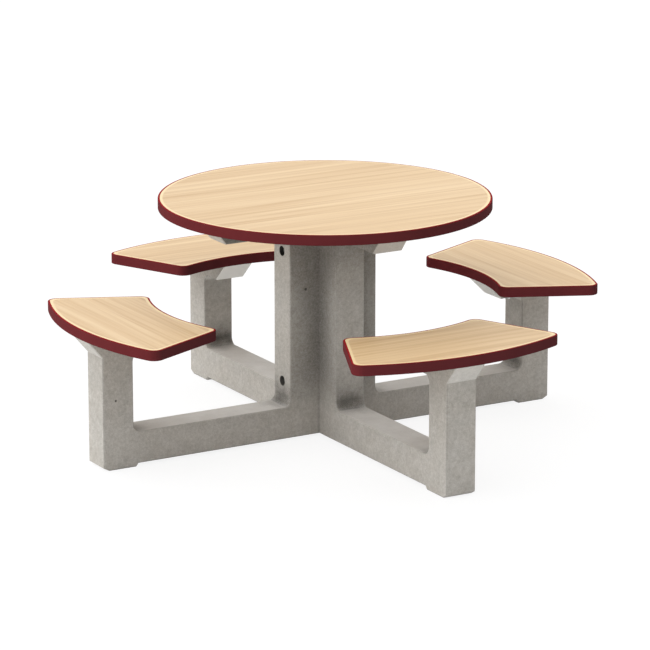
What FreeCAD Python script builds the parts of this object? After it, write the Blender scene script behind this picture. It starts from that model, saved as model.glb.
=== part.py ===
import FreeCAD
import Part
import Sketcher
import math
import os

# Round table with four fixed seats, on a cross of three cast concrete frames.
# +Z is up and the origin lies on the floor under the middle of the table. The double main frame
# stands along Y, and a single side frame butts on each of its faces, along -X and +X.
# Lengths are in millimetres and angles in degrees.

SIZES = {
    # Heights of the two kinds of board above the floor
    "top_height": 777,
    "seat_height": 462,
    # Board: a core between a laminate and a backer sheet, with a moulding round its edge
    "core_thickness": 31,
    "sheet_thickness": 1,
    "band_width": 7,
    "band_round": 2.5,
    "tongue_length": 9,
    "tongue_thickness": 3,
    "tongue_clearance": 0.2,
    # Outlines of the table top and of a seat, which is a piece of a ring about the table's axis
    "top_diameter": 1067,
    "seat_inner_radius": 565,
    "seat_outer_radius": 889,
    "seat_angle": 49.7,
    "seat_corner": 32,
    # Concrete frames: foot, post, beam and column
    "concrete_thickness": 105,
    "post_outer_radius": 827,
    "post_depth": 106,
    "foot_length": 114,
    "toe_height": 10,
    "toe_run": 19,
    "relief_height": 10.5,
    "relief_run": 8,
    "beam_top": 114,
    "column_half_width": 158.5,
    "bend_radius": 25,
    "arris_width": 3,
    # Flared heads that carry the boards
    "seat_head_depth": 62.5,
    "seat_head_ledge": 83,
    "seat_head_outer_flare": 53,
    "seat_head_inner_flare": 65,
    "top_arm_depth": 68,
    "top_arm_reach": 389,
    "top_arm_flare": 55,
    # Tie rods that clamp the side frames to the main frame, with sunk nuts
    "rod_diameter": 12,
    "rod_hole_clearance": 1,
    "upper_rod_drop": 59,
    "lower_rod_rise": 74.5,
    "rod_end": 5,
    "nut_wall": 3,
    "nut_height": 10.8,
    "rod_washer_width": 7.5,
    "rod_washer_thickness": 2.5,
    "sink_clearance": 2.5,
    "sink_depth": 27,
    # Bolts that hold the boards down, with inserts in the cores
    "bolt_diameter": 10,
    "bolt_hole_clearance": 1,
    "bolt_head_wall": 3,
    "bolt_head_height": 6.4,
    "bolt_washer_width": 7,
    "bolt_washer_thickness": 2,
    "insert_wall": 2.4,
    "insert_end_gap": 1,
    "insert_cover": 7.5,
    "thread_clearance": 0.1,
    "top_bolt_inset": 60,
    "seat_bolt_inset": 42,
    "seat_bolt_spacing": 54,
}

# Cuts run past a face by the margin, and points closer than the last value are taken as one
CUT_MARGIN = 1.0
TOUCH = 1e-4

# Turns about the table's axis, for pieces that are modelled on the +X arm
FULL_TURN = 360
ARM_SIDES = ("right", "back", "left", "front")
ARM_TURNS = {side: index * FULL_TURN / len(ARM_SIDES) for index, side in enumerate(ARM_SIDES)}
HEXAGON_SIDES = 6

# Levels and places worked out from the sizes, as expressions
BOARD = "(sizes.core_thickness + 2 * sizes.sheet_thickness)"
TOP_UNDERSIDE = f"(sizes.top_height - {BOARD})"
SEAT_UNDERSIDE = f"(sizes.seat_height - {BOARD})"
ARM_LEVEL = f"({TOP_UNDERSIDE} - sizes.top_arm_depth)"
LEDGE_LEVEL = f"({SEAT_UNDERSIDE} - sizes.seat_head_depth)"
POST_INNER = "(sizes.post_outer_radius - sizes.post_depth)"
LEDGE_END = f"({POST_INNER} - sizes.seat_head_ledge)"
CORE_RADIUS = "(sizes.top_diameter / 2 - sizes.band_width)"
TABLE_BOLT_RADIUS = "(sizes.top_arm_reach - sizes.top_bolt_inset)"
SEAT_BOLT_RADIUS = f"({LEDGE_END} + sizes.seat_bolt_inset)"
SEAT_BOLT_SIDES = ("-sizes.seat_bolt_spacing / 2", "sizes.seat_bolt_spacing / 2")
ROD_HEIGHTS = (f"({ARM_LEVEL} - sizes.upper_rod_drop)", "(sizes.beam_top + sizes.lower_rod_rise)")
SINK_FLOOR = "(sizes.column_half_width - sizes.sink_depth)"

# Widths of the fasteners and their holes, from the thread outwards
BOLT_HOLE = "(sizes.bolt_diameter + 2 * sizes.bolt_hole_clearance)"
BOLT_BORE = "(sizes.bolt_diameter + 2 * sizes.thread_clearance)"
BOLT_HEAD = "(sizes.bolt_diameter + 2 * sizes.bolt_head_wall)"
BOLT_WASHER = "(sizes.bolt_diameter + 2 * sizes.bolt_washer_width)"
INSERT_WIDTH = f"({BOLT_BORE} + 2 * sizes.insert_wall)"
INSERT_HOLE = f"({INSERT_WIDTH} + 2 * sizes.thread_clearance)"
INSERT_HOLE_DEPTH = "(sizes.core_thickness - sizes.insert_cover)"
INSERT_LENGTH = f"({INSERT_HOLE_DEPTH} - sizes.insert_end_gap)"
ROD_HOLE = "(sizes.rod_diameter + 2 * sizes.rod_hole_clearance)"
ROD_BORE = "(sizes.rod_diameter + 2 * sizes.thread_clearance)"
ROD_NUT = "(sizes.rod_diameter + 2 * sizes.nut_wall)"
ROD_WASHER = "(sizes.rod_diameter + 2 * sizes.rod_washer_width)"
SINK_WIDTH = f"({ROD_WASHER} + 2 * sizes.sink_clearance)"

DOC = FreeCAD.newDocument("table")


def make_sheet():
    """The driving dimensions, one row each."""
    sheet = DOC.addObject("Spreadsheet::Sheet", "sizes")
    for row, (alias, size) in enumerate(SIZES.items(), start=1):
        sheet.set(f"A{row}", alias)
        sheet.set(f"B{row}", str(size))
        sheet.setAlias(f"B{row}", alias)
    DOC.recompute()
    return sheet


SHEET = make_sheet()


def value(expression):
    """The number that an expression on the sheet gives now."""
    return float(SHEET.evalExpression(expression))


def new_body(label, turn=0):
    """An empty body, turned about the table's axis by a number of degrees."""
    body = DOC.addObject("PartDesign::Body", label)
    body.Label = label
    body.Placement = FreeCAD.Placement(FreeCAD.Vector(), FreeCAD.Rotation(FreeCAD.Vector(0, 0, 1), turn))
    return body


def origin_feature(body, role):
    """One of the body's own origin planes or axes."""
    return next(item for item in body.Origin.OriginFeatures if item.Role == role)


def new_sketch(body, plane, offset="0"):
    """A sketch on an origin plane, moved along the plane's normal."""
    sketch = body.newObject("Sketcher::SketchObject", "sketch")
    sketch.AttachmentSupport = [(origin_feature(body, plane), "")]
    sketch.MapMode = "FlatFace"
    if offset != "0":
        sketch.setExpression("AttachmentOffset.Base.z", offset)
    return sketch


def bind(sketch, kind, *geometry, size):
    """A sketch dimension bound to an expression."""
    number = math.radians(value(size)) if kind == "Angle" else value(size)
    index = sketch.addConstraint(Sketcher.Constraint(kind, *geometry, number))
    sketch.setExpression(f"Constraints[{index}]", size)


def place_point(sketch, geometry, point, across, along):
    """Fix a point of the sketch at two expressions from its origin."""
    for kind, axis, size in (("DistanceX", -2, across), ("DistanceY", -1, along)):
        if size == "0":
            sketch.addConstraint(Sketcher.Constraint("PointOnObject", geometry, point, axis))
        else:
            bind(sketch, kind, -1, 1, geometry, point, size=size)


def draw_polygon(sketch, corners):
    """A closed outline of straight lines through corners given as pairs of expressions."""
    spots = [FreeCAD.Vector(value(across), value(along), 0) for across, along in corners]
    lines = [
        sketch.addGeometry(Part.LineSegment(spot, spots[(index + 1) % len(spots)]), False)
        for index, spot in enumerate(spots)
    ]
    for index, line in enumerate(lines):
        following = lines[(index + 1) % len(lines)]
        sketch.addConstraint(Sketcher.Constraint("Coincident", line, 2, following, 1))
    for line, (across, along) in zip(lines, corners):
        place_point(sketch, line, 1, across, along)


def draw_circle(sketch, across, along, diameter):
    """A circle with its centre and diameter given as expressions."""
    centre = FreeCAD.Vector(value(across), value(along), 0)
    circle = Part.Circle(centre, FreeCAD.Vector(0, 0, 1), value(diameter) / 2)
    index = sketch.addGeometry(circle, False)
    bind(sketch, "Diameter", index, size=diameter)
    place_point(sketch, index, 3, across, along)


def draw_hexagon(sketch, across, along, flats):
    """A hexagon about a point, with its width across flats given as an expression."""
    step = FULL_TURN // HEXAGON_SIDES
    corner = f"{flats} / 2 / cos({step / 2} deg)"
    draw_polygon(sketch, [
        (f"{across} + {corner} * cos({turn} deg)", f"{along} + {corner} * sin({turn} deg)")
        for turn in range(0, FULL_TURN, step)
    ])


def draw_ring_piece(sketch, inset):
    """A seat's outline moved inwards by an expression: two arcs, two sides and four round corners."""
    inner = f"(sizes.seat_inner_radius + {inset})"
    outer = f"(sizes.seat_outer_radius - ({inset}))"
    corner = f"(sizes.seat_corner - ({inset}))"
    half = math.radians(value("sizes.seat_angle") / 2)
    along = FreeCAD.Vector(math.cos(half), math.sin(half), 0)
    inward = FreeCAD.Vector(math.sin(half), -math.cos(half), 0)
    beside = value(inset) + value(corner)

    def corner_spots(radius, reach):
        """A corner's centre, and where its arc meets the ring's arc and the side."""
        centre = along * math.sqrt(reach ** 2 - beside ** 2) + inward * beside
        return centre, centre * (radius / reach), centre - inward * value(corner)

    inner_centre, inner_touch, inner_end = corner_spots(value(inner), value(inner) + value(corner))
    outer_centre, outer_touch, outer_end = corner_spots(value(outer), value(outer) - value(corner))

    def mirrored(point):
        return FreeCAD.Vector(point.x, -point.y, 0)

    def arc(centre, first, last):
        circle = Part.Circle(centre, FreeCAD.Vector(0, 0, 1), (first - centre).Length)
        return Part.ArcOfCircle(circle, circle.parameter(first), circle.parameter(last))

    middle = FreeCAD.Vector()
    rim, corner_a, side_a, corner_b, hollow, corner_c, side_b, corner_d = sketch.addGeometry([
        arc(middle, mirrored(outer_touch), outer_touch),
        arc(outer_centre, outer_touch, outer_end),
        Part.LineSegment(outer_end, inner_end),
        arc(inner_centre, inner_end, inner_touch),
        arc(middle, mirrored(inner_touch), inner_touch),
        arc(mirrored(inner_centre), mirrored(inner_touch), mirrored(inner_end)),
        Part.LineSegment(mirrored(inner_end), mirrored(outer_end)),
        arc(mirrored(outer_centre), mirrored(outer_end), mirrored(outer_touch)),
    ], False)
    for joint in (
        (rim, 2, corner_a, 1), (corner_a, 2, side_a, 1), (side_a, 2, corner_b, 1), (corner_b, 2, hollow, 2),
        (hollow, 1, corner_c, 1), (corner_c, 2, side_b, 1), (side_b, 2, corner_d, 1), (corner_d, 2, rim, 1),
    ):
        sketch.addConstraint(Sketcher.Constraint("Tangent", *joint))
    for ring in (rim, hollow):
        sketch.addConstraint(Sketcher.Constraint("Coincident", ring, 3, -1, 1))
    for other in (corner_b, corner_c, corner_d):
        sketch.addConstraint(Sketcher.Constraint("Equal", corner_a, other))
    sketch.addConstraint(Sketcher.Constraint("Symmetric", side_a, 1, side_b, 2, -1))
    bind(sketch, "Radius", rim, size=outer)
    bind(sketch, "Radius", hollow, size=inner)
    bind(sketch, "Radius", corner_a, size=corner)
    bind(sketch, "Angle", -1, 1, side_a, 2, size="sizes.seat_angle / 2")
    if inset == "0":
        sketch.addConstraint(Sketcher.Constraint("PointOnObject", -1, 1, side_a))
    else:
        bind(sketch, "Distance", -1, 1, side_a, size=inset)


def extrude(body, sketch, length, kind="Pad", both_ways=False):
    """Pad a sketch along its normal, or pocket it against its normal."""
    feature = body.newObject(f"PartDesign::{kind}", kind.lower())
    feature.Profile = sketch
    feature.SideType = "Symmetric" if both_ways else "One side"
    feature.setExpression("Length", length)
    DOC.recompute()
    return feature


def revolve(body, corners):
    """A solid of revolution about the table's axis, from a section in the XZ plane."""
    sketch = new_sketch(body, "XZ_Plane")
    draw_polygon(sketch, corners)
    feature = body.newObject("PartDesign::Revolution", "revolution")
    feature.Profile = sketch
    feature.ReferenceAxis = (sketch, ["V_Axis"])
    DOC.recompute()
    return feature


def dress(body, kind, base, edges, size):
    """A fillet or a chamfer on chosen edges of a feature."""
    feature = body.newObject(f"PartDesign::{kind}", kind.lower())
    feature.Base = (base, edges)
    feature.setExpression("Radius" if kind == "Fillet" else "Size", size)
    DOC.recompute()
    return feature


def edge_names(feature, wanted):
    """Names of the edges of a feature that pass a test."""
    return [f"Edge{index}" for index, edge in enumerate(feature.Shape.Edges, start=1) if wanted(edge)]


def is_circle(edge, radii):
    """Whether an edge is a circle or an arc of one of some radii."""
    if not isinstance(edge.Curve, Part.Circle):
        return False
    return any(abs(edge.Curve.Radius - radius) < TOUCH for radius in radii)


def four_times(body, originals):
    """Repeat features on the four arms, about the table's axis."""
    pattern = body.newObject("PartDesign::PolarPattern", "four_arms")
    pattern.Originals = originals
    pattern.Axis = (origin_feature(body, "Z_Axis"), [""])
    pattern.Angle = FULL_TURN
    pattern.Occurrences = len(ARM_SIDES)
    body.Tip = pattern
    DOC.recompute()
    return pattern


def mirror(body, originals, plane):
    """Repeat features on the other side of one of the body's origin planes."""
    feature = body.newObject("PartDesign::Mirrored", "mirrored")
    feature.Originals = originals
    feature.MirrorPlane = (origin_feature(body, plane), [""])
    body.Tip = feature
    DOC.recompute()
    return feature


def arm_profile(start):
    """One arm in side view, from a start distance off the axis: foot, post, beam, column and heads."""
    outer = "sizes.post_outer_radius"
    foot = f"{outer} - sizes.foot_length"
    column = "sizes.column_half_width"
    return [
        (start, "sizes.relief_height"),
        (f"{foot} - sizes.relief_run", "sizes.relief_height"),
        (foot, "0"),
        (f"{outer} - sizes.toe_run", "0"),
        (outer, "sizes.toe_height"),
        (outer, LEDGE_LEVEL),
        (f"{outer} + sizes.seat_head_outer_flare", SEAT_UNDERSIDE),
        (f"{LEDGE_END} - sizes.seat_head_inner_flare", SEAT_UNDERSIDE),
        (LEDGE_END, LEDGE_LEVEL),
        (POST_INNER, LEDGE_LEVEL),
        (POST_INNER, "sizes.beam_top"),
        (column, "sizes.beam_top"),
        (column, ARM_LEVEL),
        ("sizes.top_arm_reach", ARM_LEVEL),
        ("sizes.top_arm_reach + sizes.top_arm_flare", TOP_UNDERSIDE),
        (start, TOP_UNDERSIDE),
    ]


def soften_frame(body, base, run, thick):
    """Round a frame's four kinds of inner bend, then break the long edges of its two faces."""
    bends = [
        (value(reach), value(level)) for reach, level in (
            (POST_INNER, LEDGE_LEVEL), (POST_INNER, "sizes.beam_top"),
            ("sizes.column_half_width", "sizes.beam_top"), ("sizes.column_half_width", ARM_LEVEL),
        )
    ]
    half = value("sizes.concrete_thickness") / 2

    def is_bend(edge):
        spots = [(abs(getattr(vertex.Point, run)), vertex.Point.z) for vertex in edge.Vertexes]
        return any(all(math.dist(spot, bend) < TOUCH for spot in spots) for bend in bends)

    def is_arris(edge):
        ends = [vertex.Point for vertex in edge.Vertexes]
        on_face = all(abs(abs(getattr(end, thick)) - half) < TOUCH for end in ends)
        across = abs(getattr(ends[0], thick) - getattr(ends[-1], thick)) > TOUCH
        on_butt = all(abs(getattr(end, run) - half) < TOUCH for end in ends)
        return on_face and not across and not on_butt

    rounded = dress(body, "Fillet", base, edge_names(base, is_bend), "sizes.bend_radius")
    return dress(body, "Chamfer", rounded, edge_names(rounded, is_arris), "sizes.arris_width")


def drill_bolt_holes(body, level, depth, places):
    """Upright bolt holes down from a head's top face."""
    sketch = new_sketch(body, "XY_Plane", level)
    for across, along in places:
        draw_circle(sketch, across, along, BOLT_HOLE)
    extrude(body, sketch, f"{depth} + {CUT_MARGIN}", "Pocket")


def main_frame():
    """The double frame along Y, with its rod holes across the column."""
    body = new_body("main_frame")
    sketch = new_sketch(body, "YZ_Plane")
    draw_polygon(sketch, arm_profile("0"))
    half = extrude(body, sketch, "sizes.concrete_thickness", both_ways=True)
    soften_frame(body, mirror(body, [half], "XZ_Plane"), "y", "x")
    holes = new_sketch(body, "YZ_Plane")
    for height in ROD_HEIGHTS:
        draw_circle(holes, "0", height, ROD_HOLE)
    extrude(body, holes, f"sizes.concrete_thickness + 2 * {CUT_MARGIN}", "Pocket", both_ways=True)
    seat_places = [(side, f"{sign}{SEAT_BOLT_RADIUS}") for side in SEAT_BOLT_SIDES for sign in ("", "-")]
    drill_bolt_holes(body, SEAT_UNDERSIDE, "sizes.seat_head_depth", seat_places)
    table_places = [("0", f"{sign}{TABLE_BOLT_RADIUS}") for sign in ("", "-")]
    drill_bolt_holes(body, TOP_UNDERSIDE, "sizes.top_arm_depth", table_places)
    return body


def side_frame(label, turn):
    """A single frame along X that butts on the main frame's face, with sunk rod holes."""
    body = new_body(label, turn)
    sketch = new_sketch(body, "XZ_Plane")
    draw_polygon(sketch, arm_profile("sizes.concrete_thickness / 2"))
    arm = extrude(body, sketch, "sizes.concrete_thickness", both_ways=True)
    soften_frame(body, arm, "x", "y")
    for diameter, depth in (
        (SINK_WIDTH, "sizes.sink_depth"),
        (ROD_HOLE, f"sizes.column_half_width - sizes.concrete_thickness / 2 + {CUT_MARGIN}"),
    ):
        holes = new_sketch(body, "YZ_Plane", "sizes.column_half_width")
        for height in ROD_HEIGHTS:
            draw_circle(holes, "0", height, diameter)
        extrude(body, holes, depth, "Pocket")
    drill_bolt_holes(
        body, SEAT_UNDERSIDE, "sizes.seat_head_depth", [(SEAT_BOLT_RADIUS, side) for side in SEAT_BOLT_SIDES])
    drill_bolt_holes(body, TOP_UNDERSIDE, "sizes.top_arm_depth", [(TABLE_BOLT_RADIUS, "0")])
    return body


def tie_rod(label, height):
    """A rod through all three columns, from nut to nut."""
    body = new_body(label)
    sketch = new_sketch(body, "YZ_Plane")
    draw_circle(sketch, "0", height, "sizes.rod_diameter")
    reach = f"{SINK_FLOOR} + sizes.rod_washer_thickness + sizes.nut_height + sizes.rod_end"
    extrude(body, sketch, f"2 * ({reach})", both_ways=True)
    return body


def rod_fittings(label, offset, thickness, draw_outline):
    """A group of four nuts or washers, one at each rod end."""
    body = new_body(label)
    sketch = new_sketch(body, "YZ_Plane", offset)
    for height in ROD_HEIGHTS:
        draw_outline(sketch, height)
        draw_circle(sketch, "0", height, ROD_BORE)
    mirror(body, [extrude(body, sketch, thickness)], "YZ_Plane")
    return body


def rod_washers():
    """Washers on the floors of the sunk holes."""
    def outline(sketch, height):
        draw_circle(sketch, "0", height, ROD_WASHER)

    return rod_fittings("tie_rod_washers", SINK_FLOOR, "sizes.rod_washer_thickness", outline)


def rod_nuts():
    """Hexagon nuts on the washers."""
    def outline(sketch, height):
        draw_hexagon(sketch, "0", height, ROD_NUT)

    seat = f"{SINK_FLOOR} + sizes.rod_washer_thickness"
    return rod_fittings("tie_rod_nuts", seat, "sizes.nut_height", outline)


def bolt_group(prefix, places, seat_level, underside):
    """Bolts, washers and inserts of one kind of board, repeated on the four arms."""
    head_level = f"({seat_level} - sizes.bolt_washer_thickness)"
    core_level = f"({underside} + sizes.sheet_thickness)"
    tip_level = f"({core_level} + {INSERT_LENGTH})"

    bolts = new_body(f"{prefix}_bolts")
    heads = new_sketch(bolts, "XY_Plane", f"{head_level} - sizes.bolt_head_height")
    shanks = new_sketch(bolts, "XY_Plane", head_level)
    for across, along in places:
        draw_hexagon(heads, across, along, BOLT_HEAD)
        draw_circle(shanks, across, along, "sizes.bolt_diameter")
    head = extrude(bolts, heads, "sizes.bolt_head_height")
    shank = extrude(bolts, shanks, f"{tip_level} - {head_level}")
    four_times(bolts, [head, shank])

    washers = ring_group(
        f"{prefix}_washers", places, BOLT_WASHER, head_level, "sizes.bolt_washer_thickness")
    inserts = ring_group(f"{prefix}_inserts", places, INSERT_WIDTH, core_level, INSERT_LENGTH)
    return [bolts, washers, inserts]


def ring_group(label, places, diameter, level, thickness):
    """Rings round the bolts at given places, repeated on the four arms."""
    body = new_body(label)
    sketch = new_sketch(body, "XY_Plane", level)
    for across, along in places:
        draw_circle(sketch, across, along, diameter)
        draw_circle(sketch, across, along, BOLT_BORE)
    four_times(body, [extrude(body, sketch, thickness)])
    return body


def drill_core(body, underside, places):
    """Blind holes for the inserts, up from a core's lower face."""
    sketch = new_sketch(body, "XY_Plane", f"{underside} + sizes.sheet_thickness + {INSERT_HOLE_DEPTH}")
    for across, along in places:
        draw_circle(sketch, across, along, INSERT_HOLE)
    return extrude(body, sketch, f"{INSERT_HOLE_DEPTH} + {CUT_MARGIN}", "Pocket")


def drill_backer(body, underside, places):
    """Bolt holes through a backer sheet."""
    sketch = new_sketch(body, "XY_Plane", f"{underside} + sizes.sheet_thickness")
    for across, along in places:
        draw_circle(sketch, across, along, BOLT_HOLE)
    return extrude(body, sketch, f"sizes.sheet_thickness + {CUT_MARGIN}", "Pocket")


def board_levels(underside):
    """Levels of a board's core and of the tongue at half its thickness."""
    core_bottom = f"({underside} + sizes.sheet_thickness)"
    core_top = f"({core_bottom} + sizes.core_thickness)"
    middle = f"({core_bottom} + sizes.core_thickness / 2)"
    return core_bottom, core_top, middle


def round_band(body, base, is_outer):
    """Round the two outer edges of an edge band."""
    return dress(body, "Fillet", base, edge_names(base, is_outer), "sizes.band_round")


def disc(label, bottom, top):
    """A flat disc of the core's radius."""
    body = new_body(label)
    revolve(body, [("0", bottom), (CORE_RADIUS, bottom), (CORE_RADIUS, top), ("0", top)])
    return body


def table_top():
    """The round board: core with a groove, two sheets, and a band whose tongue sits in the groove."""
    core_bottom, core_top, middle = board_levels(TOP_UNDERSIDE)
    slot_half = "(sizes.tongue_thickness / 2 + sizes.tongue_clearance)"
    slot_radius = f"({CORE_RADIUS} - sizes.tongue_length - sizes.tongue_clearance)"
    bolt_place = [(TABLE_BOLT_RADIUS, "0")]

    core = new_body("tabletop_core")
    revolve(core, [
        ("0", core_bottom), (CORE_RADIUS, core_bottom),
        (CORE_RADIUS, f"{middle} - {slot_half}"), (slot_radius, f"{middle} - {slot_half}"),
        (slot_radius, f"{middle} + {slot_half}"), (CORE_RADIUS, f"{middle} + {slot_half}"),
        (CORE_RADIUS, core_top), ("0", core_top),
    ])
    four_times(core, [drill_core(core, TOP_UNDERSIDE, bolt_place)])

    laminate = disc("tabletop_laminate", core_top, "sizes.top_height")
    backer = disc("tabletop_backer", TOP_UNDERSIDE, core_bottom)
    four_times(backer, [drill_backer(backer, TOP_UNDERSIDE, bolt_place)])

    band = new_body("tabletop_edge_band")
    rim = "sizes.top_diameter / 2"
    tongue_radius = f"{CORE_RADIUS} - sizes.tongue_length"
    tongue_half = "sizes.tongue_thickness / 2"
    ring = revolve(band, [
        (CORE_RADIUS, TOP_UNDERSIDE), (rim, TOP_UNDERSIDE), (rim, "sizes.top_height"),
        (CORE_RADIUS, "sizes.top_height"), (CORE_RADIUS, f"{middle} + {tongue_half}"),
        (tongue_radius, f"{middle} + {tongue_half}"), (tongue_radius, f"{middle} - {tongue_half}"),
        (CORE_RADIUS, f"{middle} - {tongue_half}"),
    ])
    rim_size = value(rim)
    round_band(band, ring, lambda edge: is_circle(edge, [rim_size]))
    return [core, laminate, backer, band]


def ring_piece(label, turn, insets, bottom, thickness):
    """A seat-shaped plate, or a ring where a second inset is given."""
    body = new_body(label, turn)
    sketch = new_sketch(body, "XY_Plane", bottom)
    for inset in insets:
        draw_ring_piece(sketch, inset)
    return body, extrude(body, sketch, thickness)


def seat(side, turn):
    """One seat's board, modelled on the +X arm and turned to its own arm."""
    core_bottom, core_top, middle = board_levels(SEAT_UNDERSIDE)
    bolt_places = [(SEAT_BOLT_RADIUS, across) for across in SEAT_BOLT_SIDES]
    core_inset = "sizes.band_width"
    tongue_inset = "sizes.band_width + sizes.tongue_length"
    slot_height = "(sizes.tongue_thickness + 2 * sizes.tongue_clearance)"

    core, _ = ring_piece(f"{side}_seat_core", turn, [core_inset], core_bottom, "sizes.core_thickness")
    slot = new_sketch(core, "XY_Plane", f"{middle} + {slot_height} / 2")
    draw_ring_piece(slot, "0")
    draw_ring_piece(slot, f"{tongue_inset} + sizes.tongue_clearance")
    extrude(core, slot, slot_height, "Pocket")
    drill_core(core, SEAT_UNDERSIDE, bolt_places)

    sheet = "sizes.sheet_thickness"
    laminate, _ = ring_piece(f"{side}_seat_laminate", turn, [core_inset], core_top, sheet)
    backer, _ = ring_piece(f"{side}_seat_backer", turn, [core_inset], SEAT_UNDERSIDE, sheet)
    drill_backer(backer, SEAT_UNDERSIDE, bolt_places)

    band, ring = ring_piece(f"{side}_seat_edge_band", turn, ["0", core_inset], SEAT_UNDERSIDE, BOARD)
    tongue = new_sketch(band, "XY_Plane", f"{middle} - sizes.tongue_thickness / 2")
    draw_ring_piece(tongue, core_inset)
    draw_ring_piece(tongue, tongue_inset)
    round_band(band, ring, is_seat_rim)
    extrude(band, tongue, "sizes.tongue_thickness")
    return [core, laminate, backer, band]


def is_seat_rim(edge):
    """Whether an edge lies on the outside of a seat's band, and not along its height."""
    ends = [vertex.Point for vertex in edge.Vertexes]
    if abs(ends[0].z - ends[-1].z) > TOUCH:
        return False
    if isinstance(edge.Curve, Part.Circle):
        names = ("seat_inner_radius", "seat_outer_radius", "seat_corner")
        return is_circle(edge, [value(f"sizes.{name}") for name in names])
    side = math.tan(math.radians(value("sizes.seat_angle") / 2))
    return all(abs(abs(end.y) - side * end.x) < TOUCH for end in ends)


def build():
    """Every piece of the table, in the order in which it is put together."""
    pieces = [main_frame()]
    pieces += [side_frame(f"side_frame_{side}", ARM_TURNS[side]) for side in ("left", "right")]
    pieces += [tie_rod("upper_tie_rod", ROD_HEIGHTS[0]), tie_rod("lower_tie_rod", ROD_HEIGHTS[1])]
    pieces += [rod_washers(), rod_nuts()]
    pieces += table_top()
    for side, turn in ARM_TURNS.items():
        pieces += seat(side, turn)
    pieces += bolt_group("tabletop", [(TABLE_BOLT_RADIUS, "0")], ARM_LEVEL, TOP_UNDERSIDE)
    seat_places = [(SEAT_BOLT_RADIUS, across) for across in SEAT_BOLT_SIDES]
    pieces += bolt_group("seat", seat_places, LEDGE_LEVEL, SEAT_UNDERSIDE)
    return pieces


def check(pieces):
    """Stop if an object failed, a cut took nothing away or a piece's shape is empty or not valid."""
    for item in DOC.Objects:
        if "Invalid" in item.State or "Error" in item.State:
            raise RuntimeError(f"{item.Label} did not build: {item.State}")
        if item.TypeId == "PartDesign::Pocket" and item.Shape.Volume >= item.BaseFeature.Shape.Volume - TOUCH:
            raise RuntimeError(f"{item.Label} cuts nothing")
    for piece in pieces:
        if piece.Shape.isNull() or not piece.Shape.isValid():
            raise RuntimeError(f"{piece.Label} has no valid shape")


def write(pieces):
    """One file for each piece."""
    os.makedirs("parts", exist_ok=True)
    for piece in pieces:
        piece.Shape.exportStep(f"parts/{piece.Label}.step")


PIECES = build()
DOC.recompute()
check(PIECES)
write(PIECES)
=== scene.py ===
import math

import bpy
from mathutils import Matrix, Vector

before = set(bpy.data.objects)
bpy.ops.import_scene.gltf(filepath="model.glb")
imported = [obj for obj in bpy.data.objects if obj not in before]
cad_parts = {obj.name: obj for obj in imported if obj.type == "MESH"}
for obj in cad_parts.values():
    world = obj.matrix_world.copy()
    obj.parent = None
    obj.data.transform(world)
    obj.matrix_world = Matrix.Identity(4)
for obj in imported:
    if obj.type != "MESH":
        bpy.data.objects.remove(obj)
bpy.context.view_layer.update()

# Looks of a round table with four attached seats on a cast concrete cross.
# Lengths are in metres, in the frame of the solid model: +Z is up and the floor is at zero.
# Colours are linear. A pair of limits gives where a mask starts and where it is full.

# The camera stands in front and to the left, a little above the table
CAMERA_TARGET = Vector((-0.0011, -0.0010, 0.3523))
CAMERA_DISTANCE = 11.962
CAMERA_TURN = math.radians(-30.066)
CAMERA_RISE = math.radians(15.001)
SENSOR_WIDTH = 36.0
CAMERA_LENS = 206.056

WHITE = (1, 1, 1, 1)

# The studio's light: an even level, wide lobes by their direction and strength, and how
# fast a lobe falls off
DOME_LEVEL = 0.12
DOME_LOBES = (
    ((-1.0, -0.2, 0.2), 0.64),
    ((-1.0, 1.0, 0.3), 1.09),
    ((0.0, 1.0, 0.2), 0.50),
    ((1.0, 1.0, 0.7), 0.30),
    ((0.0, 0.0, 1.0), 1.24),
)
LOBE_POWER = 2.0

# The floor: half its side, its colour for the light on the object, and where it is seen
# the share of light that it returns and the glow added to it
FLOOR_HALF = 30.0
FLOOR_COLOUR = (0.92, 0.92, 0.91)
SHADOW_SHARE = 0.16
FLOOR_GLOW = 0.87

# Part of the range of a noise that most of it lies in
NOISE_RANGE = (0.25, 0.75)

# Rays that feel for shelter round a point
SHELTER_SAMPLES = 8

# Concrete: colours by tone, the heights and tones between which it darkens upwards,
# the colour and share of its warm patches, and the share of grit in its relief
CONCRETE_STOPS = (
    (0.0, (0.372, 0.350, 0.318)),
    (0.5, (0.478, 0.456, 0.422)),
    (1.0, (0.590, 0.570, 0.535)),
)
FOOT_HEIGHTS = (0.05, 0.34)
FOOT_TONES = (0.60, 0.40)
WARM_COLOUR = (0.500, 0.465, 0.412)
WARM_SHARE = 0.30
GRIT_SHARE = 0.7

# Small air holes: cells in a metre, nominal radius, share of the cells that have one, least
# size and spread of sizes as shares of that radius, the wall, and how deep they look
VOID_CELLS = 60.0
VOID_RADIUS = 0.0012
VOID_SHARE = 0.30
VOID_LEAST = 0.3
VOID_SPREAD = 0.8
VOID_WALL = (1.0, 0.55)
VOID_DEPTH = 0.6

# Air holes that can be seen one by one, on the near face of the left frame: place and
# radius, and the share of the radius that is their floor
LARGE_VOIDS = (
    ((-0.1018, -0.0525, 0.4957), 0.0060),
    ((-0.7829, -0.0525, 0.2245), 0.0045),
)
LARGE_VOID_FLOOR = 0.5

# Colour of the painted shade in all air holes, and its share
VOID_SHADE_COLOUR = (0.060, 0.055, 0.048)
VOID_SHADE_SHARE = 0.85

# The tie rods' sunk ends: heights of their axes, radius of the sinks, the width over which
# the painted shade on their walls ends, and half the distance between their mouths
ROD_HEIGHTS = (0.1885, 0.617)
SINK_RADIUS = 0.0162
SINK_BLUR = 0.0006
SINK_REACH = 0.165
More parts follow.
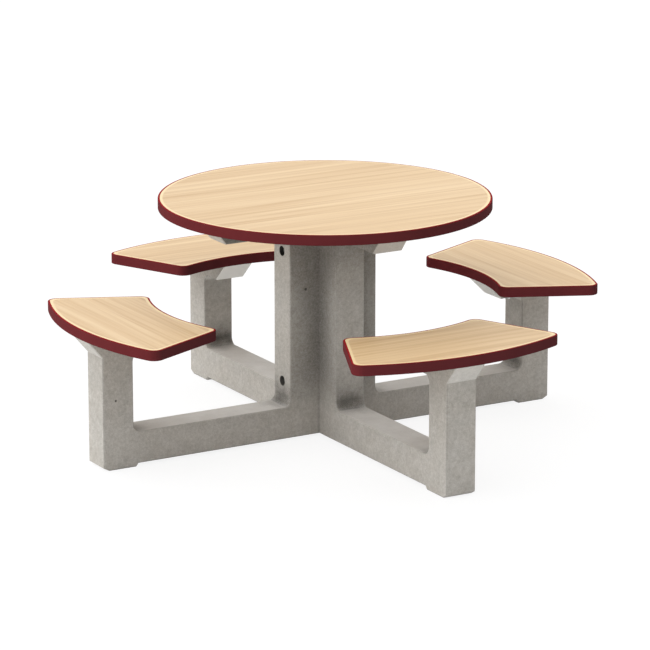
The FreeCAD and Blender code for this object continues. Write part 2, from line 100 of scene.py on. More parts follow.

# Heights between which the painted shade in the sinks darkens, and its lower and upper colour
SINK_SHADE_HEIGHTS = (0.30, 0.50)
SINK_SHADE_LOW = (0.120, 0.115, 0.105)
SINK_SHADE_HIGH = (0.045, 0.043, 0.038)

# How far a face may look up before the painted shade in corners and bends thins on it
SHADE_LEAN = (0.995, 0.90)

# Painted shade on the columns under the table, deepest in corners: reach of a corner, the
# shelter between which it deepens, shares on an open face and deep in a corner, patches,
# the heights and distances off the table's axis between which it fades, and its tint
CORNER_SHADE_REACH = 0.27
CORNER_SHADE_SHELTER = (0.92, 0.68)
CORNER_SHADE_SHARES = (0.04, 0.62)
CORNER_SHADE_PATCHES = (0.78, 1.22)
CORNER_SHADE_HEIGHTS = (0.05, 0.26)
CORNER_SHADE_RADII = (0.90, 0.42)
CORNER_SHADE_TINT = (0.250, 0.248, 0.243)

# Painted shade in the bends above the beams: reach of a bend, the shelter between which it
# deepens and how much that varies, its greatest share, the heights and the distance off
# the frames' middle that hold it, the share left on flat tops, and its tint
BEND_REACH = 0.09
BEND_SHELTER = (0.97, 0.70)
BEND_SMEAR = 0.08
BEND_SHARE = 0.95
BEND_FOOT = (0.085, 0.115)
BEND_HEAD = (0.26, 0.18)
BEND_INSIDE = (0.150, 0.162)
BEND_ON_TOPS = 0.40
BEND_SHADE_TINT = (0.205, 0.203, 0.198)

# The upright joints where the side frames butt on the main frame: half a frame's thickness,
# the width of the painted shade along a joint, the heights and shares between which it thins
# upwards, and its colour
JOINT_PLACE = 0.0525
JOINT_WIDTH = (0.011, 0.001)
JOINT_HEIGHTS = (0.12, 0.30)
JOINT_SHARES = (0.22, 0.0)
JOINT_SHADE_COLOUR = (0.090, 0.086, 0.078)

# Broken edges, with painted shade over them: how far an upright one looks to both sides, and
# the shares of the painted shade on upright and lower ones
ARRIS_SLANT = (0.45, 0.65)
ARRIS_SHARE = 0.30
LOWER_EDGE_SHARE = 0.70
EDGE_SHADE_COLOUR = (0.200, 0.190, 0.175)

# Faces that lean down: how far they look down at least and at most, and how far the flared
# ends of the heads look along a radius
LEAN_LEAST = (-0.20, -0.45)
LEAN_MOST = (-0.98, -0.88)
FLARE_TURN = (0.25, 0.45)

# Painted light on the flared ends, which look down: its share, what is added to it between
# two distances off the table's axis, and the share of the painted corner shade that they lack
FLARE_LIGHT_COLOUR = (0.790, 0.780, 0.750)
FLARE_SHARE = 0.30
MIDDLE_FLARE_SHARE = 0.65
MIDDLE_FLARE_START = (0.48, 0.56)
MIDDLE_FLARE_END = (0.72, 0.66)
FLARE_SHADE_CUT = 0.65

# How far a face must look against an axis to count as looking that way
SQUARELY_AGAINST = (-0.80, -0.95)

# Painted light on the left column's head: its place along X and off the axis, the heights and
# shares between which the painted light grows, and its gain
HEAD_PLACE = (-0.12, -0.15)
HEAD_RADII = (0.30, 0.25)
HEAD_HEIGHTS = (0.50, 0.65)
HEAD_SHARES = (0.12, 1.0)
HEAD_LIGHT_GAIN = (1.50, 1.50, 1.50)

# The shaded sides of the table arms: heights and distances off the axis, and their shade
ARM_HEIGHTS = (0.66, 0.69)
ARM_RADII = (0.16, 0.20)
ARM_SHADE = (0.66, 0.70, 0.70)

# Painted light on faces that look up: how far up, and its least and greatest share
TOP_LIGHT_LEAN = (0.6, 0.95)
TOP_LIGHT_SHARES = (0.62, 0.98)
TOP_LIGHT_COLOUR = (0.745, 0.730, 0.697)

# Outlines of the laminates
TOP_LAMINATE_RADIUS = 0.5265
SEAT_LAMINATE_INNER = 0.572
SEAT_LAMINATE_OUTER = 0.882
SEAT_HALF_ANGLE = math.radians(49.7 / 2)
BAND_WIDTH = 0.007
SEAT_CORNER = 0.05

# Turn of each seat's arm about the table's axis, and the place in the wood its laminate is
# cut from
SEATS = {
    "right": (0.0, (3.1, 0.4, 0.0)),
    "back": (math.pi / 2, (7.7, 1.9, 0.0)),
    "left": (math.pi, (11.3, 5.2, 0.0)),
    "front": (-math.pi / 2, (21.3, 3.7, 0.0)),
}
TOP_CUT = (0.0, 0.0, 0.0)
GRAIN_ALONG_X = ("front", "back")

# Laminate: colours by tone and the middle tone, how far the grain sways, the limits, share
# and colour of pale veins, dark lines and pores, and its pale border
LAMINATE_STOPS = (
    (0.0, (0.560, 0.355, 0.165)),
    (0.35, (0.655, 0.446, 0.232)),
    (0.60, (0.705, 0.495, 0.270)),
    (1.0, (0.785, 0.582, 0.345)),
)
LAMINATE_TONE = 0.55
GRAIN_SWAY = 0.006
VEIN_LIMITS = (0.36, 0.24)
VEIN_SHARE = 0.40
VEIN_COLOUR = (0.810, 0.625, 0.385)
LINE_LIMITS = (0.64, 0.78)
LINE_SHARE = 0.35
LINE_COLOUR = (0.520, 0.330, 0.155)
PORE_LIMITS = (0.66, 0.80)
PORE_SHARE = 0.35
PORE_COLOUR = (0.450, 0.275, 0.125)
PORE_RELIEF = 0.5
BORDER_LIMITS = (0.0112, 0.0058)
BORDER_SHARE = 0.95
BORDER_COLOUR = (0.890, 0.700, 0.400)

# Moulding: colours by tone, the turn over which it goes from painted shade where it looks to
# +X to painted light where it looks to -X and the tints at both ends, the upward look, share
# and colour of its shoulder and of the painted light on its rim, and its scuffs
MOULDING_STOPS = (
    (0.0, (0.092, 0.0190, 0.0211)),
    (0.5, (0.112, 0.0232, 0.0257)),
    (1.0, (0.132, 0.0274, 0.0303)),
)
FACING_LIGHT_TURN = (0.6, -1.0)
FACING_LIGHT_TINTS = ((0.74, 0.86, 0.88), (1.22, 1.00, 1.02))
RIM_SHARE = 0.90
SHOULDER_LEAN = (0.25, 0.90)
SHOULDER_COLOUR = (0.150, 0.012, 0.014)
RIM_LEAN = (0.93, 0.98)
RIM_LIGHT_COLOUR = (0.320, 0.018, 0.022)
SCUFF_LIMITS = (0.68, 0.82)
SCUFF_SHARE = 0.14
SCUFF_COLOUR = (0.220, 0.060, 0.058)
SCUFF_ROUGH = 0.10

# Core board: colours by tone, chips in a metre along each axis, and their share of the tone
CORE_STOPS = (
    (0.0, (0.280, 0.175, 0.090)),
    (0.5, (0.480, 0.330, 0.190)),
    (1.0, (0.650, 0.490, 0.310)),
)
CHIP_CELLS = (190.0, 190.0, 520.0)
CHIP_SHARE = 0.6

# Colours of the backing sheet by tone
BACKER_STOPS = (
    (0.0, (0.250, 0.165, 0.100)),
    (0.5, (0.330, 0.228, 0.145)),
    (1.0, (0.410, 0.295, 0.195)),
)

# Metals: dark and light colour, least and greatest roughness, and share that isn't oxide,
# with the spangles in a metre and their share of the tone
METALS = {
    "blackened_steel": ((0.075, 0.074, 0.068), (0.150, 0.146, 0.135), (0.50, 0.68), 0.3),
    "zinc_steel": ((0.40, 0.40, 0.40), (0.66, 0.66, 0.65), (0.28, 0.46), 1.0),
    "brass": ((0.45, 0.31, 0.12), (0.74, 0.56, 0.27), (0.25, 0.40), 1.0),
}
SPANGLE_CELLS = 420.0
SPANGLE_SHARE = 0.35

# Tones of a metal's dark and light colour
METAL_TONES = (0.15, 0.85)


class Graph:
    """The nodes of a material or of the surroundings, with short ways to add them."""

    def __init__(self, owner, output="OutputMaterial"):
        owner.use_nodes = True
        self.owner = owner
        self.tree = owner.node_tree
        self.tree.nodes.clear()
        self.output = self.add(output)

    def add(self, kind, inputs=None, **settings):
        """A node of a kind, with its settings and its inputs by name or number."""
        node = self.tree.nodes.new(f"ShaderNode{kind}")
        for name, setting in settings.items():
            setattr(node, name, setting)
        for name, given in (inputs or {}).items():
            self.put(node.inputs[name], given)
        return node

    def put(self, socket, given):
        """Link a socket, or set its value."""
        if isinstance(given, bpy.types.NodeSocket):
            self.tree.links.new(given, socket)
        else:
            socket.default_value = given

    def place(self):
        """A point's place in the model's frame."""
        return self.add("TexCoord").outputs["Object"]

    def axes(self, vector):
        """The parts of a vector along X, Y and Z."""
        return list(self.add("SeparateXYZ", {0: vector}).outputs)

    def normal(self):
        """The direction in which a face looks."""
        return self.add("NewGeometry").outputs["Normal"]

    def facing(self, axis):
        """How far a face looks along an axis, from -1 to 1."""
        return self.axes(self.normal())[axis]

    def upward(self):
        """How far a face looks up, from -1 to 1."""
        return self.facing(2)

    def shelter(self, reach):
        """One on an open face, and less in a corner within reach."""
        node = self.add("AmbientOcclusion", {"Distance": reach}, samples=SHELTER_SAMPLES)
        return node.outputs["AO"]

    def mapped(self, vector, scale=(1, 1, 1), turn=0.0, move=(0, 0, 0)):
        """A place scaled, then turned about Z and moved."""
        node = self.add("Mapping", {0: vector, 1: move, 2: (0, 0, turn), 3: scale})
        return node.outputs[0]

    def noise(self, vector, scale, detail=2.0, roughness=0.5):
        """Fractal noise from 0 to 1."""
        node = self.add("TexNoise", {
            "Vector": vector, "Scale": scale, "Detail": detail, "Roughness": roughness,
        })
        return node.outputs["Fac"]

    def long_noise(self, vector, scales, detail=2.0, roughness=0.5):
        """Noise with a scale of its own along each axis."""
        return self.noise(self.mapped(vector, scales), 1.0, detail, roughness)

    def cells(self, vector, scale):
        """Random cells: the distance from a cell's middle, and the cell's own numbers."""
        node = self.add("TexVoronoi", {"Vector": vector, "Scale": scale})
        numbers = self.add("SeparateColor", {0: node.outputs["Color"]})
        return node.outputs["Distance"], list(numbers.outputs)

    def math(self, operation, *values):
        """One step of arithmetic on sockets and numbers."""
        return self.add("Math", dict(enumerate(values)), operation=operation).outputs[0]

    def vector(self, operation, *values):
        """One step of arithmetic on vectors, to a vector."""
        node = self.add("VectorMath", dict(enumerate(values)), operation=operation)
        return node.outputs["Vector"]

    def measure(self, operation, *values):
        """One step of arithmetic on vectors, to a number."""
        node = self.add("VectorMath", dict(enumerate(values)), operation=operation)
        return node.outputs["Value"]

    def times(self, first, *others):
        """The product of masks and numbers."""
        for other in others:
            first = self.math("MULTIPLY", first, other)
        return first

    def weighed(self, share, first, second):
        """A share of one number and the rest of another."""
        rest = self.math("MULTIPLY", second, 1.0 - share)
        return self.math("MULTIPLY_ADD", first, share, rest)

    def hypotenuse(self, first, second):
        """The length of a step, by its parts along two axes."""
        squares = [self.math("MULTIPLY", part, part) for part in (first, second)]
        return self.math("SQRT", self.math("ADD", *squares))

    def fade(self, value, start, end, low=0.0, high=1.0):
        """A smooth step of a value from one level to another."""
        levels = {0: value, 1: start, 2: end, 3: low, 4: high}
        return self.add("MapRange", levels, interpolation_type="SMOOTHSTEP").outputs[0]

    def slope(self, value, start, end, low, high):
        """A straight slope of a value from one level to another."""
        levels = {0: value, 1: start, 2: end, 3: low, 4: high}
        return self.add("MapRange", levels).outputs[0]

    def span(self, noise, low, high):
        """A noise stretched over a range."""
        return self.slope(noise, *NOISE_RANGE, low, high)

    def layered(self, tone, layers):
        """A tone with noises added to it, as pairs of noise and depth."""
        for noise, depth in layers:
            tone = self.math("ADD", tone, self.span(noise, -depth, depth))
        return tone

    def ramp(self, value, stops):
        """Colours along a value, as pairs of position and colour."""
        node = self.add("ValToRGB", {0: value})
        elements = node.color_ramp.elements
        while len(elements) < len(stops):
            elements.new(1.0)
        for element, (position, colour) in zip(elements, stops):
            element.position = position
            element.color = (*colour, 1)
        return node.outputs["Color"]

    def blend(self, share, first, second, kind="MIX"):
        """A mix of two colours."""
        node = self.add("Mix", data_type="RGBA", blend_type=kind)
        for name, given in (("Factor_Float", share), ("A_Color", first), ("B_Color", second)):
            socket = next(item for item in node.inputs if item.identifier == name)
            self.put(socket, (*given, 1) if isinstance(given, tuple) else given)
        return next(item for item in node.outputs if item.identifier == "Result_Color")

    def bump(self, height, distance, strength, normal=None):
        """A bumped normal from a height from 0 to 1, on the face or on another bump."""
        inputs = {"Strength": strength, "Distance": distance, "Height": height}
        node = self.add("Bump", inputs)
        if normal is not None:
            self.put(node.inputs["Normal"], normal)
        return node.outputs["Normal"]

    def finish(self, **inputs):
        """The surface, from the inputs of the main shader."""
        named = {name.replace("_", " "): given for name, given in inputs.items()}
        shader = self.add("BsdfPrincipled", named)
        self.put(self.output.inputs["Surface"], shader.outputs["BSDF"])
        return self.owner


def new_graph(name):
    """The nodes of a new material."""
    return Graph(bpy.data.materials.new(name))


def off_axis(graph, place):
    """The level step to a place from the table's upright axis."""
    return graph.vector("MULTIPLY", place, (1, 1, 0))


def axis_distance(graph, place):
    """Distance from the table's upright axis."""
    return graph.measure("LENGTH", off_axis(graph, place))


def air_voids(graph, place):
    """A mask of the small round holes that air leaves on a cast face."""
    distance, (chance, size, _) = graph.cells(place, VOID_CELLS)
    chosen = graph.math("LESS_THAN", chance, VOID_SHARE)
    largest = VOID_RADIUS * VOID_CELLS
    radius = graph.math("MULTIPLY_ADD", size, largest * VOID_SPREAD, largest * VOID_LEAST)
    depth = graph.math("DIVIDE", distance, radius)
    return graph.times(graph.fade(depth, *VOID_WALL), chosen)


def single_voids(graph, place):
    """A mask of the air holes that have a place of their own."""
    mask = 0.0
    for middle, radius in LARGE_VOIDS:
        gap = graph.measure("DISTANCE", place, middle)
        hole = graph.fade(gap, radius, radius * LARGE_VOID_FLOOR)
        mask = graph.math("MAXIMUM", mask, hole)
    return mask


def painted_sink_shade(graph, place):
    """A mask of the painted shade on the walls of the tie rods' sinks, which run along X."""
    along, across, height = graph.axes(place)
    masks = []
    for axis_height in ROD_HEIGHTS:
        rise = graph.math("SUBTRACT", height, axis_height)
        distance = graph.hypotenuse(across, rise)
        masks.append(graph.fade(distance, SINK_RADIUS + SINK_BLUR, SINK_RADIUS))
    inside = graph.math("LESS_THAN", graph.math("ABSOLUTE", along), SINK_REACH)
    return graph.times(graph.math("MAXIMUM", *masks), inside)


def painted_corner_shade(graph, place):
    """A mask of the painted shade on the columns, deepest in corners and close under the table."""
    height = graph.axes(place)[2]
    return graph.times(
        graph.slope(graph.shelter(CORNER_SHADE_REACH), *CORNER_SHADE_SHELTER, *CORNER_SHADE_SHARES),
        graph.span(graph.noise(place, 170.0, 2.0, 0.6), *CORNER_SHADE_PATCHES),
        graph.fade(height, *CORNER_SHADE_HEIGHTS),
        graph.fade(axis_distance(graph, place), *CORNER_SHADE_RADII),
        graph.fade(graph.upward(), *SHADE_LEAN),
    )


def painted_bend_shade(graph, place):
    """A mask of the painted shade in the bends between posts, columns and beams."""
    along, across, height = graph.axes(place)
    smear = graph.span(graph.noise(place, 16.0, 3.0, 0.6), -BEND_SMEAR, BEND_SMEAR)
    shelter = graph.math("ADD", graph.shelter(BEND_REACH), smear)
    sides = [graph.math("ABSOLUTE", part) for part in (along, across)]
    return graph.times(
        graph.fade(shelter, *BEND_SHELTER, 0.0, BEND_SHARE),
        graph.fade(height, *BEND_FOOT),
        graph.fade(height, *BEND_HEAD),
        graph.fade(graph.math("MAXIMUM", *sides), *BEND_INSIDE),
        graph.fade(graph.upward(), *SHADE_LEAN, BEND_ON_TOPS, 1.0),
    )


def painted_joint_shade(graph, place):
    """A mask of the narrow lines of painted shade in the joints between the frames."""
    along, across, height = graph.axes(place)
    sides = [graph.math("ABSOLUTE", part) for part in (along, across)]
    gaps = [graph.math("SUBTRACT", side, JOINT_PLACE) for side in sides]
    share = graph.fade(height, *JOINT_HEIGHTS, *JOINT_SHARES)
    return graph.times(share, graph.fade(graph.hypotenuse(*gaps), *JOINT_WIDTH))


def arrises(graph):
    """A mask of the broken upright edges of the frames."""
    sides = [graph.math("ABSOLUTE", graph.facing(axis)) for axis in (0, 1)]
    return graph.fade(graph.math("MINIMUM", *sides), *ARRIS_SLANT)


def leaning_faces(graph, place):
    """Masks of the faces that lean down: the heads' flared ends, and broken lower edges."""
    outward = graph.vector("NORMALIZE", off_axis(graph, place))
    along = graph.measure("DOT_PRODUCT", graph.normal(), outward)
    lean = graph.upward()
    leaning = graph.times(graph.fade(lean, *LEAN_LEAST), graph.fade(lean, *LEAN_MOST))
    flared = graph.times(leaning, graph.fade(graph.math("ABSOLUTE", along), *FLARE_TURN))
    return flared, graph.math("SUBTRACT", leaning, flared)


def painted_head_light(graph, place, radius):
    """A mask of the painted light on the left column's upper end, on the face that looks to -X."""
    along, _, height = graph.axes(place)
    return graph.times(
        graph.fade(along, *HEAD_PLACE),
        graph.fade(radius, *HEAD_RADII),
        graph.fade(graph.facing(0), *SQUARELY_AGAINST),
        graph.fade(height, *HEAD_HEIGHTS, *HEAD_SHARES),
    )


def shaded_arms(graph, height, radius):
    """A mask of the sides of the table arms that look to -Y, deep under the table."""
    return graph.times(
        graph.fade(height, *ARM_HEIGHTS),
        graph.fade(radius, *ARM_RADII),
        graph.fade(graph.facing(1), *SQUARELY_AGAINST),
    )


def concrete():
    """Cast concrete: warm grey, faintly mottled, sandy and pitted, with painted shade in its
    corners, bends, joints, edges and holes and painted light on its tops and flared ends.
    """
    graph = new_graph("concrete")
    place = graph.place()
    height = graph.axes(place)[2]
    radius = axis_distance(graph, place)

    mottle = graph.noise(place, 34.0, 3.0, 0.65)
    grit = graph.noise(place, 260.0, 3.0, 0.6)
    sand = graph.noise(place, 1000.0, 1.0)
    tone = graph.layered(graph.fade(height, *FOOT_HEIGHTS, *FOOT_TONES), (
        (graph.noise(place, 5.0), 0.07),
        (mottle, 0.22),
        (graph.noise(place, 95.0, 2.0, 0.6), 0.26),
        (grit, 0.30),
        (sand, 0.14),
    ))
    colour = graph.ramp(tone, CONCRETE_STOPS)
    warm = graph.span(graph.noise(place, 11.0), 0.0, WARM_SHARE)
    colour = graph.blend(warm, colour, WARM_COLOUR, "SOFT_LIGHT")

    flared, lower_edges = leaning_faces(graph, place)
    # Painted light on the flared ends that look down
    middle = [graph.fade(radius, *ends) for ends in (MIDDLE_FLARE_START, MIDDLE_FLARE_END)]
    share = graph.math("MULTIPLY_ADD", graph.times(*middle), MIDDLE_FLARE_SHARE, FLARE_SHARE)
    colour = graph.blend(graph.times(flared, share), colour, FLARE_LIGHT_COLOUR)
    # Painted shade on the broken upright and lower edges
    colour = graph.blend(graph.times(arrises(graph), ARRIS_SHARE), colour, EDGE_SHADE_COLOUR)
    colour = graph.blend(graph.times(lower_edges, LOWER_EDGE_SHARE), colour, EDGE_SHADE_COLOUR)
    # Painted light on the head of the left column
    colour = graph.blend(painted_head_light(graph, place, radius), colour, HEAD_LIGHT_GAIN, "MULTIPLY")
    colour = graph.blend(shaded_arms(graph, height, radius), colour, ARM_SHADE, "MULTIPLY")

    # Painted light on faces that look up, in blotches
    blotch = graph.span(graph.noise(place, 18.0, 3.0, 0.6), *TOP_LIGHT_SHARES)
    dust_and_top_light = graph.times(graph.fade(graph.upward(), *TOP_LIGHT_LEAN), blotch)
    colour = graph.blend(dust_and_top_light, colour, TOP_LIGHT_COLOUR)
    # Painted shade in the corners under the table, less of it on the flared ends
    shade_kept = graph.math("MULTIPLY_ADD", flared, -FLARE_SHADE_CUT, 1.0)
    corner_shade = graph.times(painted_corner_shade(graph, place), shade_kept)
    colour = graph.blend(corner_shade, colour, CORNER_SHADE_TINT, "MULTIPLY")
    # Painted shade in the bends above the beams
    colour = graph.blend(painted_bend_shade(graph, place), colour, BEND_SHADE_TINT, "MULTIPLY")
    # Painted shade in the joints between the frames
    colour = graph.blend(painted_joint_shade(graph, place), colour, JOINT_SHADE_COLOUR)

    small = graph.times(air_voids(graph, place), VOID_DEPTH)
    voids = graph.math("MAXIMUM", single_voids(graph, place), small)
    # Painted shade in the air holes
    colour = graph.blend(graph.times(voids, VOID_SHADE_SHARE), colour, VOID_SHADE_COLOUR)
    # Painted shade in the tie rods' sinks, lighter in the lower one
    sink_shade = graph.blend(graph.fade(height, *SINK_SHADE_HEIGHTS), SINK_SHADE_LOW, SINK_SHADE_HIGH)
    colour = graph.blend(painted_sink_shade(graph, place), colour, sink_shade)

    rough = graph.span(mottle, 0.80, 0.95)
    relief = graph.weighed(GRIT_SHARE, grit, sand)
    normal = graph.bump(relief, distance=0.0006, strength=0.30)
    solid = graph.math("SUBTRACT", 1.0, voids)
    normal = graph.bump(solid, distance=0.002, strength=0.9, normal=normal)
    return graph.finish(Base_Color=colour, Roughness=rough, Normal=normal, Specular_IOR_Level=0.2)


def edge_distance(graph, place, turn):
    """Distance from the border of a laminate: a disc, or a piece of a ring on a turned arm."""
    radius = axis_distance(graph, place)
    if turn is None:
        return graph.math("SUBTRACT", TOP_LAMINATE_RADIUS, radius)
    along, across, _ = graph.axes(graph.mapped(place, turn=-turn))
    inner = graph.math("SUBTRACT", radius, SEAT_LAMINATE_INNER)
    outer = graph.math("SUBTRACT", SEAT_LAMINATE_OUTER, radius)
    ahead = graph.math("MULTIPLY", along, math.sin(SEAT_HALF_ANGLE))
    aside = graph.times(graph.math("ABSOLUTE", across), math.cos(SEAT_HALF_ANGLE))
    side = graph.math("SUBTRACT", graph.math("SUBTRACT", ahead, aside), BAND_WIDTH)
    near = graph.math("SMOOTH_MIN", inner, outer, SEAT_CORNER)
    return graph.math("SMOOTH_MIN", near, side, SEAT_CORNER)


def laminate(name, turn, cut, along_x):
    """Pale straight-grained wood laminate with a satin face and a pale border."""
    graph = new_graph(name)
    place = graph.place()
    grain = graph.mapped(place, turn=0.0 if along_x else math.pi / 2, move=cut)
    sway = graph.span(graph.long_noise(grain, (1.3, 5.0, 1.0)), -GRAIN_SWAY, GRAIN_SWAY)
    grain = graph.vector("ADD", grain, graph.add("CombineXYZ", {1: sway}).outputs[0])

    band = graph.long_noise(grain, (0.55, 13.0, 1.0), 2.0, 0.6)
    vein = graph.long_noise(grain, (0.8, 31.0, 1.0), 2.0, 0.6)
    streak = graph.long_noise(grain, (1.1, 62.0, 1.0), 3.0, 0.6)
    thread = graph.long_noise(grain, (1.6, 125.0, 1.0), 2.0, 0.6)
    fibre = graph.long_noise(grain, (5.0, 420.0, 1.0))
    pore = graph.long_noise(grain, (26.0, 1100.0, 1.0), 1.0)
    tone = graph.layered(LAMINATE_TONE, (
        (band, 0.10), (vein, 0.34), (streak, 0.32), (thread, 0.22), (fibre, 0.08),
    ))
    colour = graph.ramp(tone, LAMINATE_STOPS)

    specks = graph.fade(pore, *PORE_LIMITS)
    border = graph.fade(edge_distance(graph, place, turn), *BORDER_LIMITS)
    for mask, share, mark in (
        (graph.fade(vein, *VEIN_LIMITS), VEIN_SHARE, VEIN_COLOUR),
        (graph.fade(streak, *LINE_LIMITS), LINE_SHARE, LINE_COLOUR),
        (specks, PORE_SHARE, PORE_COLOUR),
        (border, BORDER_SHARE, BORDER_COLOUR),
    ):
        colour = graph.blend(graph.times(mask, share), colour, mark)

    rough = graph.span(fibre, 0.36, 0.46)
    relief = graph.math("SUBTRACT", fibre, graph.times(specks, PORE_RELIEF))
    normal = graph.bump(relief, distance=0.00012, strength=0.5)
    return graph.finish(Base_Color=colour, Roughness=rough, Normal=normal, Specular_IOR_Level=0.35)


def edge_band():
    """Dark red vinyl moulding with a fine skin and faint scuffs, with painted light where it looks
    to -X and on its rim, and painted shade where it looks to +X.
    """
    graph = new_graph("edge_band")
    place = graph.place()
    cloud = graph.noise(place, 9.0, 3.0)
    skin = graph.noise(place, 1400.0, 2.0)
    tone = graph.layered(graph.span(cloud, 0.3, 0.7), ((skin, 0.15),))
    colour = graph.ramp(tone, MOULDING_STOPS)
    # Painted light where the moulding looks to -X, painted shade where it looks to +X
    facing_light = graph.blend(graph.fade(graph.facing(0), *FACING_LIGHT_TURN), *FACING_LIGHT_TINTS)
    colour = graph.blend(1.0, colour, facing_light, "MULTIPLY")

    lean = graph.upward()
    shoulder = graph.fade(lean, *SHOULDER_LEAN, 0.0, RIM_SHARE)
    colour = graph.blend(shoulder, colour, SHOULDER_COLOUR)
    # Painted light on the upward rim
    colour = graph.blend(graph.fade(lean, *RIM_LEAN, 0.0, RIM_SHARE), colour, RIM_LIGHT_COLOUR)

    scuff = graph.long_noise(place, (60.0, 60.0, 420.0), 3.0, 0.65)
    marks = graph.fade(scuff, *SCUFF_LIMITS)
    colour = graph.blend(graph.times(marks, SCUFF_SHARE), colour, SCUFF_COLOUR)
    rough = graph.math("ADD", graph.span(cloud, 0.74, 0.84), graph.times(marks, SCUFF_ROUGH))
    normal = graph.bump(skin, distance=0.0002, strength=0.35)
    return graph.finish(Base_Color=colour, Roughness=rough, Normal=normal, Specular_IOR_Level=0.02)


def core_board():
    """Pressed board of fine wood chips."""
    graph = new_graph("core_board")
    place = graph.place()
    _, (shade, *_) = graph.cells(graph.mapped(place, CHIP_CELLS), 1.0)
    dust_and_top_light = graph.noise(place, 700.0, 3.0)
    tone = graph.weighed(CHIP_SHARE, shade, dust_and_top_light)
    colour = graph.ramp(tone, CORE_STOPS)
    normal = graph.bump(tone, distance=0.0004, strength=0.6)
    return graph.finish(Base_Color=colour, Roughness=graph.span(dust_and_top_light, 0.8, 0.95), Normal=normal)


def backer():
    """Sanded brown backing sheet."""
    graph = new_graph("backer")
    place = graph.place()
    cloud = graph.noise(place, 14.0, 4.0, 0.6)
    fibre = graph.noise(place, 480.0, 3.0, 0.65)
    scratch = graph.long_noise(place, (900.0, 14.0, 1.0))
    tone = graph.layered(graph.span(cloud, 0.3, 0.7), ((fibre, 0.2), (scratch, 0.1)))
    colour = graph.ramp(tone, BACKER_STOPS)
    normal = graph.bump(fibre, distance=0.0003, strength=0.4)
    return graph.finish(Base_Color=colour, Roughness=graph.span(cloud, 0.62, 0.78), Normal=normal)


def metal(name):
    """Plated or turned metal with a spangled, slightly dulled surface, or one with oxide on it."""
    dark, light, roughness, bare = METALS[name]
    graph = new_graph(name)
    place = graph.place()
    _, (shade, *_) = graph.cells(place, SPANGLE_CELLS)
    haze = graph.noise(place, 160.0, 4.0, 0.6)
    tone = graph.weighed(SPANGLE_SHARE, shade, haze)
    colour = graph.ramp(tone, tuple(zip(METAL_TONES, (dark, light))))
    rough = graph.span(haze, *roughness)
    normal = graph.bump(haze, distance=0.0001, strength=0.4)
    return graph.finish(Base_Color=colour, Roughness=rough, Normal=normal, Metallic=bare)


def cover(material, *nodes):
    """Give nodes of the model one material."""
    for node in nodes:
        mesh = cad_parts[node].data
        mesh.materials.clear()
        mesh.materials.append(material)


def dress():
    """Every node in its material."""
    cover(concrete(), "main_frame", "side_frame_left", "side_frame_right")
    boards = ("tabletop", *(f"{side}_seat" for side in SEATS))
    cover(edge_band(), *(f"{board}_edge_band" for board in boards))
    cover(core_board(), *(f"{board}_core" for board in boards))
    cover(backer(), *(f"{board}_backer" for board in boards))
    cover(laminate("tabletop_laminate", None, TOP_CUT, True), "tabletop_laminate")
    for side, (turn, cut) in SEATS.items():
        node = f"{side}_seat_laminate"
        cover(laminate(node, turn, cut, side in GRAIN_ALONG_X), node)
    rods = ("upper_tie_rod", "lower_tie_rod", "tie_rod_nuts", "tie_rod_washers")
    cover(metal("blackened_steel"), *rods)
    bolts = ("tabletop_bolts", "tabletop_washers", "seat_bolts", "seat_washers")
    cover(metal("zinc_steel"), *bolts)
    cover(metal("brass"), "tabletop_inserts", "seat_inserts")


def seen_rays(graph):
    """One for rays from the camera, mirrors and glass, and nought for the light on the object."""
    rays = graph.add("LightPath")
    seen = graph.math("MAXIMUM", rays.outputs["Is Camera Ray"], rays.outputs["Is Glossy Ray"])
    return graph.math("MAXIMUM", seen, rays.outputs["Is Transmission Ray"])


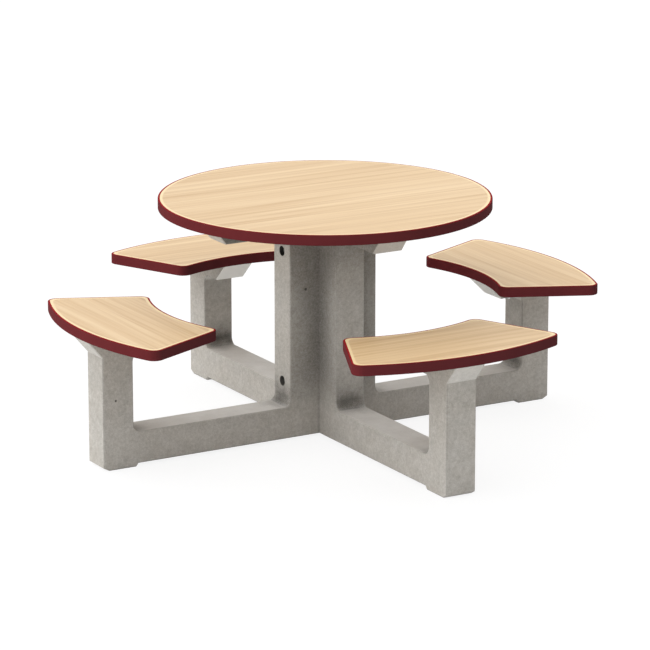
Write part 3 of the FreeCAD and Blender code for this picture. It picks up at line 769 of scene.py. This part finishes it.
def floor():
    """A plain white floor that keeps a faint shadow."""
    graph = new_graph("floor")
    plain = graph.add("BsdfDiffuse", {"Color": (*FLOOR_COLOUR, 1)})
    shaded = graph.add("BsdfDiffuse", {"Color": (SHADOW_SHARE, SHADOW_SHARE, SHADOW_SHARE, 1)})
    glow = graph.add("Emission", {"Color": WHITE, "Strength": FLOOR_GLOW})
    white = graph.add("AddShader", {0: shaded.outputs[0], 1: glow.outputs[0]})
    shares = {0: seen_rays(graph), 1: plain.outputs[0], 2: white.outputs[0]}
    graph.put(graph.output.inputs["Surface"], graph.add("MixShader", shares).outputs[0])
    mesh = bpy.data.meshes.new("floor")
    signs = ((-1, -1), (1, -1), (1, 1), (-1, 1))
    corners = [(x * FLOOR_HALF, y * FLOOR_HALF, 0) for x, y in signs]
    mesh.from_pydata(corners, [], [(0, 1, 2, 3)])
    mesh.materials.append(graph.owner)
    plane = bpy.data.objects.new("floor", mesh)
    bpy.context.scene.collection.objects.link(plane)


def sky():
    """A soft dome, brightest overhead and behind on the left, and white where it is seen."""
    graph = Graph(bpy.data.worlds.new("studio"), "OutputWorld")
    bpy.context.scene.world = graph.owner
    direction = graph.add("TexCoord").outputs["Generated"]
    level = DOME_LEVEL
    for towards, strength in DOME_LOBES:
        along = graph.measure("DOT_PRODUCT", direction, Vector(towards).normalized())
        lobe = graph.math("POWER", graph.math("MAXIMUM", along, 0.0), LOBE_POWER)
        level = graph.math("MULTIPLY_ADD", lobe, strength, level)
    strength = graph.add("Mix", {0: seen_rays(graph), 2: level, 3: 1.0}).outputs[0]
    light = graph.add("Background", {"Color": WHITE, "Strength": strength})
    graph.put(graph.output.inputs["Surface"], light.outputs[0])


def camera():
    """The camera at the photograph's place."""
    lens = bpy.data.cameras.new("camera")
    lens.sensor_width = SENSOR_WIDTH
    lens.lens = CAMERA_LENS
    body = bpy.data.objects.new("camera", lens)
    level = math.cos(CAMERA_RISE)
    away = (math.sin(CAMERA_TURN) * level, -math.cos(CAMERA_TURN) * level, math.sin(CAMERA_RISE))
    back = Vector(away)
    body.location = CAMERA_TARGET + back * CAMERA_DISTANCE
    body.rotation_euler = (-back).to_track_quat("-Z", "Y").to_euler()
    bpy.context.scene.collection.objects.link(body)
    bpy.context.scene.camera = body


dress()
floor()
sky()
camera()
bpy.context.scene.view_settings.view_transform = "Standard"
